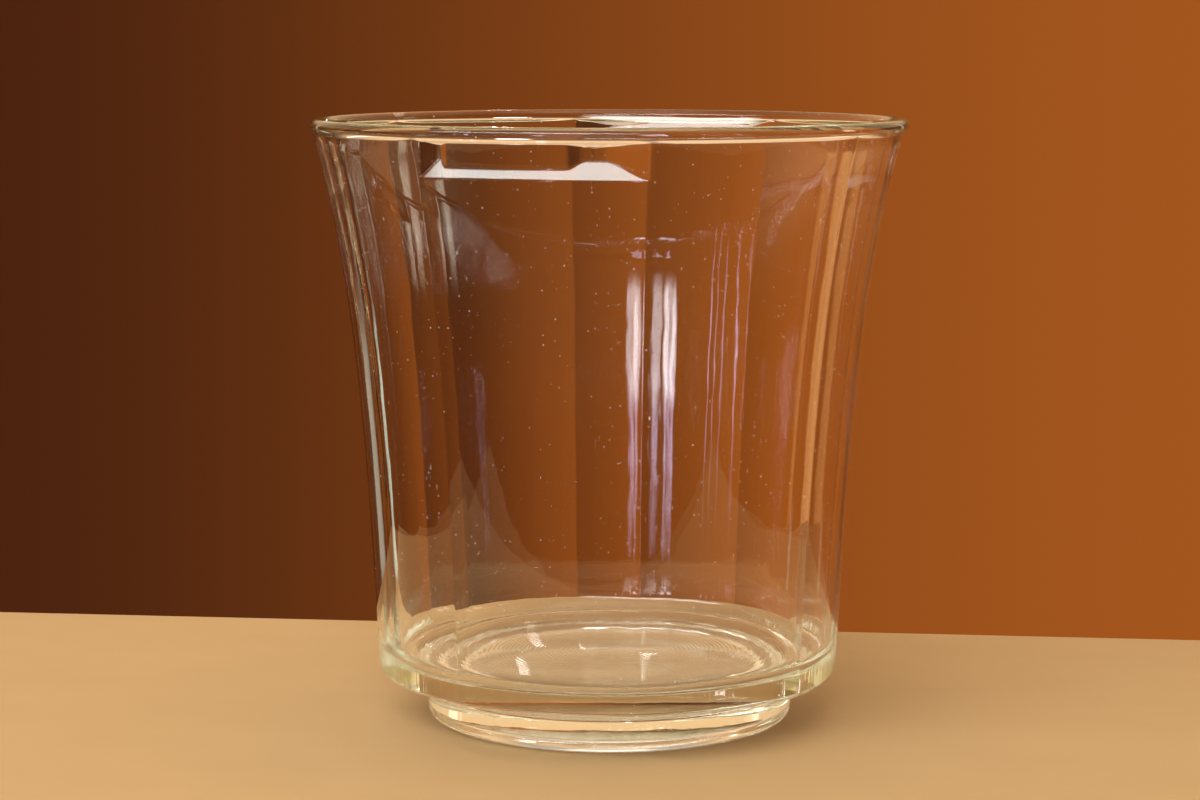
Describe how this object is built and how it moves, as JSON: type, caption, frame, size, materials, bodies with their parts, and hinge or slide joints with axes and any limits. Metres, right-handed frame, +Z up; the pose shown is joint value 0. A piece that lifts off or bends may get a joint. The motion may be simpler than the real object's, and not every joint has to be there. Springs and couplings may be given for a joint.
{
  "type": "ice bucket",
  "caption": "Clear pressed-glass vessel with a flared wall of bowed vertical panels, a round rim bead, a heavy heel on a foot ring and two recesses for a clip-on bail handle.",
  "frame": {"origin": "middle of the foot ring's underside, on the surface that the vessel stands on", "axes": "+Z up along the vessel's axis; the two handle recesses face -Y and +Y"},
  "size_m": [0.14, 0.14, 0.142],
  "materials": {
    "clear_glass": "fire-polished clear pressed glass with a faint yellow-green cast in its thick edges"
  },
  "bodies": {
    "root": {"glass_vessel": "clear_glass"}
  },
  "joints": []
}
